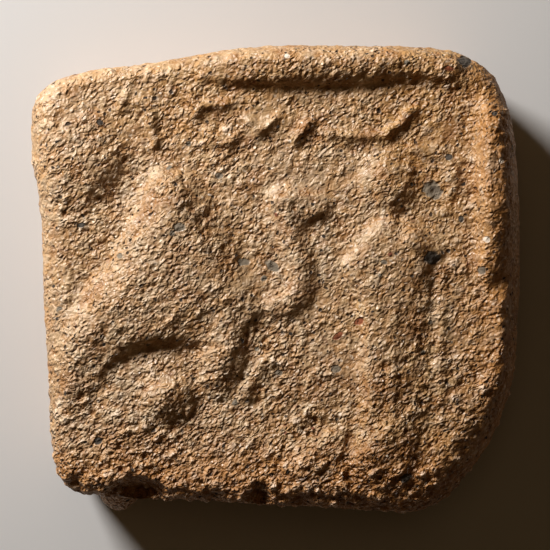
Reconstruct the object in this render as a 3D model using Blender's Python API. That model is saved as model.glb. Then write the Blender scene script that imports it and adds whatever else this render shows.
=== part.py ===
"""A small clay tablet pressed in a mould, lying on its back with its worn relief up.

A camel walks to the right, a figure in a long robe stands in front of it, and a raised
rim runs along the top and the right edge. It is one lump of fired clay, so it is one
solid. All sizes are in millimetres until the mesh is written. The middle of the tablet
is X 0, Y 0, the back lies on Z 0, and the top of the picture points to +Y.
"""

import math

import bmesh
import bpy
import numpy as np

MM = 0.001

# Levels above the surface that the tablet lies on
FIELD_LEVEL = 5.55
REST_INSET = 1.1

# The relief: how much its drawn heights are raised, how sharp its creases stay, and how
# finely it is drawn and how often it is rounded off before the mesh takes its heights
RELIEF_GAIN = 1.15
CREASE = 14.0
MAP_STEP = 0.1
WEAR_PASSES = 7

# Outline seen from above, counterclockwise from the right: a square shaped by hand,
# lower at the top left, with one large worn corner at the bottom right
OUTLINE = (
    (12.0, 0.5), (11.9, 3.9), (11.7, 6.8), (11.3, 8.7), (10.6, 10.1), (9.3, 11.0),
    (7.4, 11.4), (4.0, 11.5), (0.6, 11.5), (-1.8, 11.4), (-4.2, 11.0), (-6.6, 10.6),
    (-9.1, 10.3), (-10.8, 9.8), (-11.7, 9.1), (-12.0, 8.0), (-12.0, 6.0), (-11.7, 4.4),
    (-11.5, 2.0), (-11.4, -1.0), (-11.2, -4.4), (-11.1, -7.3), (-10.8, -9.2),
    (-10.2, -10.2), (-9.0, -10.5), (-6.6, -10.7), (-3.7, -10.8), (-0.8, -11.0),
    (2.1, -11.1), (4.8, -11.3), (6.6, -11.4), (8.2, -10.8), (9.6, -9.3), (10.8, -7.4),
    (11.6, -5.2), (11.9, -2.4),
)

# Worn edge at sixteen compass directions, counterclockwise from the right (+X):
# how far it reaches in from the outline, and how far it drops
EDGE_WIDTH = (1.5, 1.1, 1.1, 1.0, 0.8, 0.8, 0.9, 1.2, 1.2, 1.2, 1.1, 1.0, 1.1, 1.45, 2.1, 1.35)
EDGE_DROP = (2.2, 1.2, 1.2, 1.1, 0.9, 0.9, 1.0, 1.1, 1.0, 1.0, 1.0, 1.0, 0.9, 1.1, 1.7, 2.1)

# Lump of clay squeezed out low on the bottom edge: x, z, its radii and how far it stands out
LUMP_X = -7.8
LUMP_Z = 2.4
LUMP_RADII = (1.2, 1.5)
LUMP_REACH = 0.7

# Mesh density
FACE_CELLS_X = 57
FACE_CELLS_Y = 55
EDGE_RINGS = 3
SIDE_RINGS = 4
PATH_STEPS = 6

CLAY_COLOUR = (0.44, 0.27, 0.14, 1.0)
CLAY_ROUGHNESS = 0.9


# ---------------------------------------------------------------- drawing tools

def smooth_path(points, closed=False):
    """A Catmull-Rom curve through the points, as an array of closer points."""
    p = np.array(points, float)
    if closed:
        p = np.vstack([p[-1], p, p[0], p[1]])
    else:
        p = np.vstack([2 * p[0] - p[1], p, 2 * p[-1] - p[-2]])
    t = (np.arange(PATH_STEPS) / PATH_STEPS)[:, None]
    runs = [
        0.5 * (2 * b + (c - a) * t + (2 * a - 5 * b + 4 * c - d) * t**2
               + (3 * b - a - 3 * c + d) * t**3)
        for a, b, c, d in zip(p, p[1:], p[2:], p[3:])
    ]
    return np.vstack(runs + [p[-2:-1]])


def nearest(x, y, path):
    """Distance to a path, share of its length at the nearest point, and +1 on its left."""
    best = np.full(x.shape, np.inf)
    share = np.zeros(x.shape)
    side = np.ones(x.shape)
    steps = np.diff(path, axis=0)
    lengths = np.hypot(steps[:, 0], steps[:, 1])
    run = 0.0
    for (ax, ay), (dx, dy), length in zip(path, steps, lengths):
        t = np.clip(((x - ax) * dx + (y - ay) * dy) / length**2, 0, 1)
        distance = np.hypot(x - ax - t * dx, y - ay - t * dy)
        closer = distance < best
        best = np.where(closer, distance, best)
        share = np.where(closer, (run + t * length) / lengths.sum(), share)
        side = np.where(closer, np.sign(dx * (y - ay) - dy * (x - ax)), side)
        run += length
    return best, share, side


def along(share, values):
    """Values at equal steps along a path, read at a share of its length."""
    return np.interp(share, np.linspace(0, 1, len(values)), values)


def smoothstep(t):
    t = np.clip(t, 0, 1)
    return t * t * (3 - 2 * t)


def inside(x, y, path):
    """True inside a closed path."""
    found = np.zeros(x.shape, bool)
    for (ax, ay), (bx, by) in zip(path, path[1:]):
        if ay != by:
            crosses = (ay > y) != (by > y)
            found ^= crosses & (x < ax + (bx - ax) * (y - ay) / (by - ay))
    return found


def ridge(x, y, points, widths, heights):
    """A rounded raised band along a path, with widths and heights along it."""
    distance, share, _ = nearest(x, y, smooth_path(points))
    q = np.clip(1 - (2 * distance / along(share, widths)) ** 2, 0, 1)
    return along(share, heights) * q**1.2


def mound(x, y, centre, radii, height, turn=0.0):
    """An oval hump whose long axis is turned by some degrees."""
    c, s = math.cos(math.radians(turn)), math.sin(math.radians(turn))
    dx, dy = x - centre[0], y - centre[1]
    u, v = (dx * c + dy * s) / radii[0], (dy * c - dx * s) / radii[1]
    return height * np.clip(1 - u * u - v * v, 0, 1) ** 1.2


def pillow(x, y, outline, slopes, height, soft=(0.0,)):
    """A raised area that rises inwards from its outline over the slopes along it. Soft
    goes along the outline too: 0 starts the rise abruptly, 1 eases it in."""
    path = smooth_path(outline, closed=True)
    distance, share, _ = nearest(x, y, path)
    q = np.clip(distance / along(share, slopes + slopes[:1]), 0, 1)
    q = np.where(inside(x, y, path), q, 0)
    eased = along(share, soft + soft[:1])
    return height * (eased * smoothstep(q) + (1 - eased) * (1 - (1 - q) ** 2))


def scarp(x, y, points, heights, width, fade):
    """Ground on a path's left that steps up by heights along it, and sinks over fade."""
    distance, share, side = nearest(x, y, smooth_path(points))
    across = distance * side
    ends = smoothstep(np.minimum(share, 1 - share) / 0.08)
    lift = smoothstep(across / width + 0.5) * np.exp(-np.clip(across, 0, None) / fade)
    return along(share, heights) * ends * lift


def bead(x, y, points, heights, reach, fade):
    """Ground on a path's left that rounds up from it over a reach, and sinks over fade."""
    distance, share, side = nearest(x, y, smooth_path(points))
    across = np.clip(distance * side, 0, None)
    ends = smoothstep(np.minimum(share, 1 - share) / 0.08)
    lift = (1 - (1 - np.clip(across / reach, 0, 1)) ** 2) * np.exp(-across / fade)
    return along(share, heights) * ends * lift


# ---------------------------------------------------------------- the relief

def camel(x, y):
    """The body with its rounded back, the side that falls away to the crisp belly, the
    legs, the neck and the head."""
    body = (
        (-5.4, 5.6), (-6.1, 5.3), (-6.5, 4.4), (-7.0, 3.3), (-7.6, 2.2), (-8.2, 1.2),
        (-9.0, 0.2), (-9.7, -0.8), (-10.3, -2.0), (-10.5, -3.6), (-10.0, -5.0),
        (-8.9, -5.3), (-7.95, -4.4), (-7.05, -3.6), (-6.2, -3.2), (-4.9, -3.3),
        (-3.7, -3.3), (-2.4, -3.0), (-1.1, -2.5), (-0.4, -1.7), (-0.6, -0.4), (-1.1, 0.8),
        (-1.4, 2.0), (-1.9, 3.2), (-2.8, 4.4), (-4.0, 5.3),
    )
    sharp = (1.4, 1.5, 1.6, 1.7, 1.7, 1.7, 1.7, 1.7, 1.4, 1.3, 1.0, 0.5, 0.5, 0.4,
             0.35, 0.35, 0.35, 0.5, 0.8, 1.0, 1.6, 2.4, 2.6, 2.6, 2.2, 1.6)
    broad = (1.6, 1.9, 2.2, 2.4, 2.4, 2.4, 2.2, 2.2, 1.8, 1.6, 1.3, 0.7, 0.6, 0.6,
             1.2, 2.4, 3.0, 2.6, 2.4, 2.2, 2.4, 2.8, 3.0, 3.0, 2.6, 2.0)
    soft = (0.0,) * 10 + (0.3, 0.3, 0.3, 0.3, 0.3, 0.4, 0.6) + (1.0,) * 7 + (0.8, 0.3)
    falling = ((1 + 0.055 * (y - 4) - 0.03 * (x + 6))
               * (1 - mound(x, y, (-8.8, -4.6), (3.4, 2.4), 0.33))
               * (1 - mound(x, y, (-10.4, -5.6), (2.6, 2.2), 0.9)))
    neck = ((0.0, -1.25), (0.4, -1.2), (0.95, -0.85), (1.2, -0.1), (1.15, 0.9),
            (0.85, 1.75), (0.55, 2.85), (0.3, 3.8))
    return (
        falling * (pillow(x, y, body, sharp, 0.45, soft)
                   + pillow(x, y, body, broad, 0.45, soft)),
        ridge(x, y, ((-9.6, -3.8), (-9.7, -5.0), (-9.9, -6.4)), (2.2, 2.0, 1.6),
              (0.18, 0.15, 0.06)),
        ridge(x, y, ((-2.5, -1.9), (-2.55, -3.0), (-2.7, -3.9), (-2.95, -4.7)),
              (2.6, 2.6, 2.6, 2.0), (0.4, 0.5, 0.5, 0.3)),
        ridge(x, y, neck, (1.5, 1.6, 1.75), (0.28, 0.33, 0.4)),
        ridge(x, y, ((0.2, 3.9), (1.2, 3.9), (2.2, 3.8)), (1.5, 1.3, 1.1), (0.42, 0.36, 0.25)),
        ridge(x, y, ((0.9, 3.4), (1.6, 3.3), (2.4, 3.5)), (1.2, 1.2, 0.9), (0.3, 0.3, 0.25)),
    )


def standing_figure(x, y):
    """Head, shoulders, the robe with a steep left side, and the bent arm."""
    robe = (
        (5.0, 3.2), (4.1, 2.5), (3.4, 1.5), (3.1, 0.4), (3.7, -0.5), (4.0, -1.8),
        (4.05, -4.2), (4.0, -6.1), (3.8, -7.4), (3.6, -8.6), (3.9, -9.7), (5.0, -10.3),
        (6.3, -10.1), (7.0, -8.6), (7.5, -6.3), (7.6, -3.9), (7.6, -1.4), (7.8, 0.5),
        (8.0, 1.6), (7.4, 2.4), (6.4, 3.0), (5.5, 3.4),
    )
    slopes = (0.9, 0.9, 0.9, 0.7, 0.6, 0.6, 0.6, 0.8, 1.0, 1.2, 1.6, 2.0, 2.4, 2.8, 3.0,
              3.2, 3.0, 2.8, 2.2, 1.6, 1.2, 0.9)
    return (
        pillow(x, y, robe, slopes, 0.4) + mound(x, y, (6.75, 2.0), (0.8, 0.7), 0.15)
        - ridge(x, y, ((6.0, 3.3), (6.15, 2.4), (6.2, 1.6)), (0.7, 0.6), (0.15, 0.02)),
        mound(x, y, (5.45, 4.85), (1.6, 1.75), 0.4, turn=10),
        ridge(x, y, ((6.4, 6.4), (7.7, 6.3), (8.5, 5.6), (8.6, 4.6), (8.3, 3.3)),
              (0.7, 0.6, 0.6), (0.12, 0.15, 0.12)),
    )


def ball_under_camel(x, y):
    return (mound(x, y, (-5.3, -5.65), (1.6, 1.35), 0.6, turn=15)
            - mound(x, y, (-4.6, -6.0), (1.0, 0.7), 0.1, turn=15),
            mound(x, y, (-7.0, -6.7), (2.2, 1.6), 0.16),
            mound(x, y, (-6.6, -4.6), (3.2, 2.0), 0.16))


def rims(x, y):
    """The raised rim: a bead with a sharp foot under the top edge, and a steep step
    on the right that rounds off outwards."""
    top = ((-4.6, 9.8), (-3.2, 9.65), (-1.8, 9.6), (-0.3, 9.5), (1.15, 9.5), (3.1, 9.55),
           (5.05, 9.75), (6.5, 9.85), (7.5, 9.75), (8.55, 9.55), (9.5, 9.4))
    right = ((9.95, 9.3), (9.9, 6.3), (9.9, 3.9), (9.95, 2.0), (9.9, 0.2),
             (10.5, -1.4), (10.8, -2.7), (10.6, -4.4), (10.2, -5.8))
    return (
        scarp(x, y, top, (0.1, 0.2, 0.3, 0.35, 0.35, 0.3, 0.35, 0.35, 0.3, 0.3, 0.2), 0.3, 3.0)
        + bead(x, y, top, (0.05, 0.1, 0.32, 0.48, 0.6, 0.6, 0.55, 0.5, 0.34, 0.22, 0.1), 1.6, 6.0)
        + scarp(x, y, right, (0.4, 0.9, 0.95, 0.95, 0.6, 0.25, 0.32, 0.2, 0.1), 0.75, 6.0)
    )


def worn_border(x, y):
    """What is left of the border at the left: a swollen corner, a lump and a hollow."""
    border = ((-11.0, 8.8), (-11.1, 6.0), (-10.8, 3.0), (-10.7, 0.5), (-10.6, -3.0),
              (-10.4, -7.0))
    return (mound(x, y, (-9.7, 6.1), (2.6, 3.0), 0.37, turn=20)
            + mound(x, y, (-10.9, 8.6), (1.4, 1.3), 0.15)
            + mound(x, y, (-11.0, 4.0), (1.4, 1.2), 0.06)
            + mound(x, y, (-9.9, 3.1), (1.0, 1.0), 0.1)
            + scarp(x, y, border, (0.1, 0.1, 0.15, 0.2, 0.2, 0.1), 1.0, 2.0)
            - mound(x, y, (-10.5, 7.8), (0.4, 0.4), 0.15)
            - ridge(x, y, ((-11.4, 4.0), (-10.7, 3.7)), (0.5, 0.5), (0.12, 0.12))
            - mound(x, y, (-7.4, 4.9), (1.1, 1.4), 0.15)
            - mound(x, y, (-8.1, 4.1), (1.3, 1.0), 0.13))


def merged(heights):
    """One surface over several raised forms, with soft creases where they meet."""
    return np.log(1 + sum(np.exp(CREASE * h) - 1 for h in heights)) / CREASE


def chips(x, y):
    """The two larger bites out of the lower edge."""
    return (mound(x, y, (-6.8, -10.4), (1.6, 0.75), 1.3)
            + mound(x, y, (-0.8, -10.6), (0.6, 0.7), 0.9))


def relief(x, y):
    """Height of the face above the plain field."""
    figures = merged(camel(x, y) + standing_figure(x, y) + ball_under_camel(x, y))
    return RELIEF_GAIN * (figures + rims(x, y) + worn_border(x, y)) - chips(x, y)


def worn(heights, passes):
    """Rounds off a height map, as handling does."""
    for _ in range(passes):
        for axis in (0, 1):
            padded = np.pad(heights, [(2, 2) if a == axis else (0, 0) for a in (0, 1)],
                            mode="edge")
            parts = [np.take(padded, range(k, k + heights.shape[axis]), axis=axis)
                     for k in range(5)]
            heights = sum(w * p for w, p in zip((1, 4, 6, 4, 1), parts)) / 16
    return heights


def relief_map():
    """The worn relief on a regular grid, as a function of x and y."""
    xs = np.arange(-12.6, 12.6, MAP_STEP)
    ys = np.arange(-12.2, 12.2, MAP_STEP)
    x, y = np.meshgrid(xs, ys)
    heights = worn(relief(x, y), WEAR_PASSES)

    def sample(px, py):
        u = np.clip((px - xs[0]) / MAP_STEP, 0, len(xs) - 1.001)
        v = np.clip((py - ys[0]) / MAP_STEP, 0, len(ys) - 1.001)
        i, j = u.astype(int), v.astype(int)
        fu, fv = u - i, v - j
        low = heights[j, i] * (1 - fu) + heights[j, i + 1] * fu
        high = heights[j + 1, i] * (1 - fu) + heights[j + 1, i + 1] * fu
        return low * (1 - fv) + high * fv

    return sample


# ---------------------------------------------------------------- outline and edge

def compass(theta, values):
    """Values at equal turns from the right, read smoothly at any direction."""
    turns = (theta / math.tau % 1.0) * len(values)
    low = np.floor(turns).astype(int) % len(values)
    high = (low + 1) % len(values)
    share = smoothstep(turns - np.floor(turns))
    v = np.array(values)
    return v[low] * (1 - share) + v[high] * share


def outline_radius(theta):
    """Distance from the middle to the outline in each direction."""
    path = smooth_path(OUTLINE, closed=True)
    angles = np.unwrap(np.arctan2(path[:, 1], path[:, 0]))
    radii = np.hypot(path[:, 0], path[:, 1])
    wrapped = (theta - angles[0]) % math.tau + angles[0]
    return np.interp(wrapped, angles, radii)


def side_lump(x, z):
    """How far the lump on the bottom edge stands out of the side."""
    return mound(x, z, (LUMP_X, LUMP_Z), LUMP_RADII, LUMP_REACH)


def wall_turns():
    """Turns from level to upright for the rings of the worn edge, top to bottom, and
    from upright back to level for the rings of the side below it."""
    return (np.linspace(0, math.pi / 2, EDGE_RINGS + 1)[1:],
            np.linspace(0, math.pi / 2, SIDE_RINGS + 1)[1:])


def ring_positions(theta, relief_at):
    """For each ring of the wall, top to bottom, its points in millimetres."""
    outer = outline_radius(theta)
    width, drop = compass(theta, EDGE_WIDTH), compass(theta, EDGE_DROP)
    c, s = np.cos(theta), np.sin(theta)
    widest = FIELD_LEVEL - drop
    edge, side = wall_turns()
    rings = []
    for turn in edge:
        radius = outer - width * (1 - math.sin(turn))
        raised = relief_at(radius * c, radius * s) * math.cos(turn)
        rings.append((radius, FIELD_LEVEL + raised - drop * (1 - math.cos(turn))))
    for turn in side:
        z = widest * (1 - math.sin(turn))
        radius = outer - REST_INSET * (1 - math.cos(turn))
        bulge = np.where(s < 0, side_lump(radius * c, z), 0.0)
        rings.append((radius + bulge, z))
    return [np.stack([r * c, r * s, z], axis=1) for r, z in rings]


# ---------------------------------------------------------------- the mesh

def face_positions(grid, relief_at):
    """Moves a square grid (-1 to 1) onto the face inside the worn edge."""
    u, v = grid[:, 0], grid[:, 1]
    theta = np.arctan2(v, u)
    reach = np.maximum(abs(u), abs(v))
    radius = reach * (outline_radius(theta) - compass(theta, EDGE_WIDTH))
    x, y = radius * np.cos(theta), radius * np.sin(theta)
    return np.stack([x, y, FIELD_LEVEL + relief_at(x, y)], axis=1)


def place(verts, positions):
    for vert, position in zip(verts, positions):
        vert.co = position * MM


def build_tablet_mesh():
    """A warped grid for the face, rings of wall pulled out of its border, and a flat back."""
    relief_at = relief_map()
    bm = bmesh.new()
    bmesh.ops.create_grid(bm, x_segments=FACE_CELLS_X, y_segments=FACE_CELLS_Y, size=1.0)
    grid = list(bm.verts)
    place(grid, face_positions(np.array([v.co[:] for v in grid]), relief_at))
    loop = [e for e in bm.edges if e.is_boundary]
    for ring in range(EDGE_RINGS + SIDE_RINGS):
        made = bmesh.ops.extrude_edge_only(bm, edges=loop)["geom"]
        verts = [g for g in made if isinstance(g, bmesh.types.BMVert)]
        loop = [g for g in made if isinstance(g, bmesh.types.BMEdge) and g.is_boundary]
        theta = np.array([math.atan2(v.co.y, v.co.x) for v in verts])
        place(verts, ring_positions(theta, relief_at)[ring])
    bmesh.ops.contextual_create(bm, geom=loop)
    bmesh.ops.recalc_face_normals(bm, faces=bm.faces)
    mesh = bpy.data.meshes.new("tablet")
    bm.to_mesh(mesh)
    bm.free()
    mesh.shade_smooth()
    return mesh


def clay_material():
    clay = bpy.data.materials.new("terracotta")
    clay.use_nodes = True
    shader = clay.node_tree.nodes["Principled BSDF"]
    shader.inputs["Base Color"].default_value = CLAY_COLOUR
    shader.inputs["Roughness"].default_value = CLAY_ROUGHNESS
    shader.inputs["Metallic"].default_value = 0.0
    return clay


def main():
    for old in list(bpy.data.objects):
        bpy.data.objects.remove(old)
    collection = bpy.data.collections.new("terracotta_tablet")
    bpy.context.scene.collection.children.link(collection)
    tablet = bpy.data.objects.new("tablet", build_tablet_mesh())
    tablet.data.materials.append(clay_material())
    collection.objects.link(tablet)


main()
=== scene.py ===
"""Looks for the clay tablet: its worn relief, sandy surface, stones, light and camera.

Sizes are in millimetres until the mesh is written. The middle of the tablet is X 0, Y 0,
its back lies on Z 0, and the top of the relief points to +Y, as in the CAD model.
"""

import math

import bmesh
import bpy
import numpy as np
from mathutils import Euler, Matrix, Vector, noise


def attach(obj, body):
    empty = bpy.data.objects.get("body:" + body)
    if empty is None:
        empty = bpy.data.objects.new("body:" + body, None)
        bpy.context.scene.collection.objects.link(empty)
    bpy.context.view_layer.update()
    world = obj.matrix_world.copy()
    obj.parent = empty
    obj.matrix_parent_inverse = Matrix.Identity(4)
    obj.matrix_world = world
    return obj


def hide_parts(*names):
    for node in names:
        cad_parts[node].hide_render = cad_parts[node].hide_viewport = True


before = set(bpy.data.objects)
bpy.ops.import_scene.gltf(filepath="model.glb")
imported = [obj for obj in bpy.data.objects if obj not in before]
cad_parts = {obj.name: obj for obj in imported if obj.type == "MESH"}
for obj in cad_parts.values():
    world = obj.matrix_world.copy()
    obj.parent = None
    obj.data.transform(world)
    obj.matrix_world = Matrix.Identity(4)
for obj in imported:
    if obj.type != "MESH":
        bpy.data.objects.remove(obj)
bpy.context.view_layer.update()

MM = 0.001

# ---------------------------------------------------------------- sizes

FIELD_LEVEL = 5.55   # height of the plain field of the face
REST_INSET = 1.1     # the flat underside stops this far inside the outline
BACK_REACH = 0.992   # share of the way to the outline at which the back's grid ends

# Outline seen from above, counterclockwise from the right
OUTLINE = (
    (12.0, 0.5), (11.9, 3.9), (11.7, 6.8), (11.3, 8.7), (10.6, 10.1), (9.3, 11.0),
    (7.4, 11.4), (4.0, 11.5), (0.6, 11.5), (-1.8, 11.4), (-4.2, 11.0), (-6.6, 10.6),
    (-9.1, 10.3), (-10.8, 9.8), (-11.7, 9.1), (-12.0, 8.0), (-12.0, 6.0), (-11.7, 4.4),
    (-11.5, 2.0), (-11.4, -1.0), (-11.2, -4.4), (-11.1, -7.3), (-10.8, -9.2),
    (-10.2, -10.2), (-9.0, -10.5), (-6.6, -10.7), (-3.7, -10.8), (-0.8, -11.0),
    (2.1, -11.1), (4.8, -11.3), (6.6, -11.4), (8.2, -10.8), (9.6, -9.3), (10.8, -7.4),
    (11.6, -5.2), (11.9, -2.4),
)

# Worn edge at sixteen compass directions, counterclockwise from the right (+X):
# how far it reaches in from the outline, and how far it drops
EDGE_WIDTH = (1.5, 1.1, 1.1, 1.0, 0.8, 0.8, 0.9, 1.2,
              1.2, 1.2, 1.1, 1.0, 1.1, 1.45, 2.1, 1.35)
EDGE_DROP = (2.2, 1.2, 1.2, 1.1, 0.9, 0.9, 1.0, 1.1,
             1.0, 1.0, 1.0, 1.0, 0.9, 1.1, 1.7, 2.1)

# A clod of clay on the lower side wall: its X and Z, its radii along them, and how far
# it stands out. Only points with a Y below LOWER_WALL belong to that wall
CLOD_CENTRE = (-7.8, 2.4)
CLOD_RADII = (1.2, 1.5)
CLOD_HEIGHT = 1.0
LOWER_WALL = -9

PATH_STEPS = 6      # points from one corner of a path to the next
END_SHARE = 0.08    # share of a path over which a step comes in, and goes out again
DOME_POWER = 1.2    # above 1, a ridge or mound runs out softly at its foot

MAP_HALF = (12.6, 12.2)      # the height map reaches this far from the middle
MAP_STEP = 0.08              # and has a height at each of these steps
WEAR_KERNEL = (1, 4, 6, 4, 1)
WEAR_PASSES = 3              # how often the height map is smoothed
CREASE = 14.0                # the higher, the sharper the creases between figures
RELIEF_GAIN = 1.15           # scales the figures, the rims, the border and the strokes

# Cells of the two grids that become the face and the back. Their points drift by up to
# a share of a cell, and their rows shift by turns, so that no regular grid is seen
FACE_CELLS = (280, 314)
BACK_CELLS = (100, 100)
GRID_DRIFT = 0.15
ROW_SHIFT = 0.25
GRID_SEED = 7


# ---------------------------------------------------------------- drawing tools

def smooth_path(points, closed=False):
    """A Catmull-Rom curve through the points, as an array of closer points."""
    p = np.array(points, float)
    if closed:
        p = np.vstack([p[-1], p, p[0], p[1]])
    else:
        p = np.vstack([2 * p[0] - p[1], p, 2 * p[-1] - p[-2]])
    t = (np.arange(PATH_STEPS) / PATH_STEPS)[:, None]
    runs = [
        0.5 * (2 * b + (c - a) * t + (2 * a - 5 * b + 4 * c - d) * t**2
               + (3 * b - a - 3 * c + d) * t**3)
        for a, b, c, d in zip(p, p[1:], p[2:], p[3:])
    ]
    return np.vstack(runs + [p[-2:-1]])


def nearest(x, y, path):
    """Distance to a path, share of its length at the nearest point, and +1 on its left."""
    best = np.full(x.shape, np.inf)
    share = np.zeros(x.shape)
    side = np.ones(x.shape)
    steps = np.diff(path, axis=0)
    lengths = np.hypot(steps[:, 0], steps[:, 1])
    run = 0.0
    for (ax, ay), (dx, dy), length in zip(path, steps, lengths):
        t = np.clip(((x - ax) * dx + (y - ay) * dy) / length**2, 0, 1)
        distance = np.hypot(x - ax - t * dx, y - ay - t * dy)
        closer = distance < best
        best = np.where(closer, distance, best)
        share = np.where(closer, (run + t * length) / lengths.sum(), share)
        side = np.where(closer, np.sign(dx * (y - ay) - dy * (x - ax)), side)
        run += length
    return best, share, side


def along(share, values):
    """Values at equal steps along a path, read at a share of its length."""
    return np.interp(share, np.linspace(0, 1, len(values)), values)


def smoothstep(t):
    """Eases from 0 to 1 while t goes from 0 to 1."""
    t = np.clip(t, 0, 1)
    return t * t * (3 - 2 * t)


def faded_ends(share):
    """1 along a path, easing to 0 at both of its ends."""
    return smoothstep(np.minimum(share, 1 - share) / END_SHARE)


def inside(x, y, path):
    """True inside a closed path."""
    found = np.zeros(x.shape, bool)
    for (ax, ay), (bx, by) in zip(path, path[1:]):
        if ay != by:
            crosses = (ay > y) != (by > y)
            found ^= crosses & (x < ax + (bx - ax) * (y - ay) / (by - ay))
    return found


def ridge(x, y, points, widths, heights):
    """A rounded raised band along a path, with widths and heights along it."""
    distance, share, _ = nearest(x, y, smooth_path(points))
    q = np.clip(1 - (2 * distance / along(share, widths)) ** 2, 0, 1)
    return along(share, heights) * q**DOME_POWER


def mound(x, y, centre, radii, height, turn=0.0):
    """An oval hump whose long axis is turned by some degrees."""
    c, s = math.cos(math.radians(turn)), math.sin(math.radians(turn))
    dx, dy = x - centre[0], y - centre[1]
    u, v = (dx * c + dy * s) / radii[0], (dy * c - dx * s) / radii[1]
    return height * np.clip(1 - u * u - v * v, 0, 1) ** DOME_POWER


def pillow(x, y, outline, slopes, height, soft=(0.0,)):
    """A raised area that rises inwards from its outline over the slopes along it. Soft
    goes along the outline too: 0 starts the rise abruptly, 1 eases it in."""
    path = smooth_path(outline, closed=True)
    distance, share, _ = nearest(x, y, path)
    q = np.clip(distance / along(share, slopes + slopes[:1]), 0, 1)
    q = np.where(inside(x, y, path), q, 0)
    eased = along(share, soft + soft[:1])
    return height * (eased * smoothstep(q) + (1 - eased) * (1 - (1 - q) ** 2))


def scarp(x, y, points, heights, width, fade):
    """Ground on a path's left that steps up by heights along it, and sinks over fade."""
    distance, share, side = nearest(x, y, smooth_path(points))
    across = distance * side
    lift = smoothstep(across / width + 0.5) * np.exp(-np.clip(across, 0, None) / fade)
    return along(share, heights) * faded_ends(share) * lift


def bead(x, y, points, heights, reach, fade):
    """Ground on a path's left that rounds up from it over a reach, and sinks over fade."""
    distance, share, side = nearest(x, y, smooth_path(points))
    across = np.clip(distance * side, 0, None)
    lift = (1 - (1 - np.clip(across / reach, 0, 1)) ** 2) * np.exp(-across / fade)
    return along(share, heights) * faded_ends(share) * lift


# ---------------------------------------------------------------- the relief

def camel(x, y):
    """The body with its rounded back, the side that falls away to the crisp belly, the
    legs, the neck and the head."""
    body = (
        (-5.4, 5.6), (-6.1, 5.3), (-6.5, 4.4), (-7.0, 3.3), (-7.6, 2.2), (-8.2, 1.2),
        (-9.0, 0.2), (-9.7, -0.8), (-10.3, -2.0), (-10.5, -3.6), (-10.0, -5.0),
        (-8.9, -5.3), (-7.95, -4.4), (-7.05, -3.6), (-6.2, -3.2), (-4.9, -3.3),
        (-3.7, -3.3), (-2.4, -3.0), (-1.1, -2.5), (-0.4, -1.7), (-0.6, -0.4), (-1.1, 0.8),
        (-1.4, 2.0), (-1.9, 3.2), (-2.8, 4.4), (-4.0, 5.3),
    )
    # one value for each corner of the body: the width of its slope, steep and gentle,
    # and how softly that slope starts
    sharp = (1.4, 1.5, 1.6, 1.7, 1.7, 1.7, 1.7, 1.7, 1.4, 1.3, 1.0, 0.5, 0.5, 0.4,
             0.35, 0.35, 0.35, 0.5, 0.8, 1.0, 1.6, 2.4, 2.6, 2.6, 2.2, 1.6)
    broad = (1.6, 1.9, 2.2, 2.4, 2.4, 2.4, 2.2, 2.2, 1.8, 1.6, 1.3, 0.7, 0.6, 0.6,
             1.2, 2.4, 3.0, 2.6, 2.4, 2.2, 2.4, 2.8, 3.0, 3.0, 2.6, 2.0)
    soft = (0.0,) * 10 + (0.3, 0.3, 0.3, 0.3, 0.3, 0.4, 0.6) + (1.0,) * 7 + (0.8, 0.3)
    # lower towards the belly and the chest, and worn down over the hind leg
    falling = ((1 + 0.055 * (y - 4) - 0.03 * (x + 6))
               * (1 - mound(x, y, (-8.8, -4.6), (3.4, 2.4), 0.33))
               * (1 - mound(x, y, (-10.4, -5.6), (2.6, 2.2), 0.9)))
    neck = ((0.0, -1.25), (0.4, -1.2), (0.95, -0.85), (1.2, -0.1), (1.15, 0.9),
            (0.85, 1.75), (0.55, 2.85), (0.3, 3.8))
    return (
        falling * (pillow(x, y, body, sharp, 0.45, soft)
                   + pillow(x, y, body, broad, 0.45, soft)),
        ridge(x, y, ((-9.6, -3.8), (-9.7, -5.0), (-9.9, -6.4)), (2.2, 2.0, 1.6),
              (0.18, 0.15, 0.06)),
        ridge(x, y, ((-2.5, -1.9), (-2.55, -3.0), (-2.7, -3.9), (-2.95, -4.7)),
              (2.6, 2.6, 2.6, 2.0), (0.4, 0.5, 0.5, 0.3)),
        ridge(x, y, neck, (1.5, 1.6, 1.75), (0.28, 0.33, 0.4)),
        ridge(x, y, ((0.2, 3.9), (1.2, 3.9), (2.2, 3.8)), (1.5, 1.3, 1.1),
              (0.42, 0.36, 0.25)),
        ridge(x, y, ((0.9, 3.4), (1.6, 3.3), (2.4, 3.5)), (1.2, 1.2, 0.9),
              (0.3, 0.3, 0.25)),
    )


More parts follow.
